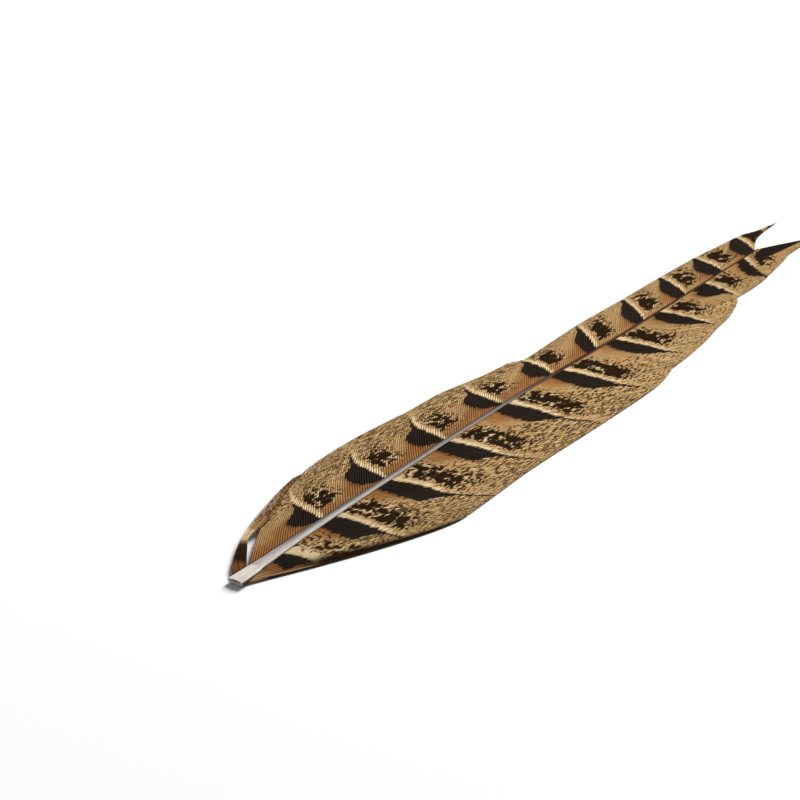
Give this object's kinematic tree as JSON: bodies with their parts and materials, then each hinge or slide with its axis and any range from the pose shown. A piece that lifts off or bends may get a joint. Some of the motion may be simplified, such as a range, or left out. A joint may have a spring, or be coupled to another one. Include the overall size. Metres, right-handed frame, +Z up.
{
  "type": "pheasant tail feather",
  "caption": "Short barred tail feather with a cut quill, an off-centre shaft, a wide and a narrow vane and a forked tip, lying flat.",
  "frame": {"origin": "on the surface that the feather lies on, below the middle of its bounding box", "axes": "+X along the shaft from the cut quill to the tip, +Y towards the narrow vane, +Z up, out of the patterned side"},
  "size_m": [0.1864, 0.0311, 0.0024],
  "materials": {
    "horn": "smooth grey-brown horn with a satin shine",
    "barbs": "tan barbs with black bars, cream edges and dark speckles"
  },
  "bodies": {
    "root": {"shaft": "horn", "right_vane": "barbs", "left_vane": "barbs", "left_base_lock": "barbs"}
  },
  "joints": []
}
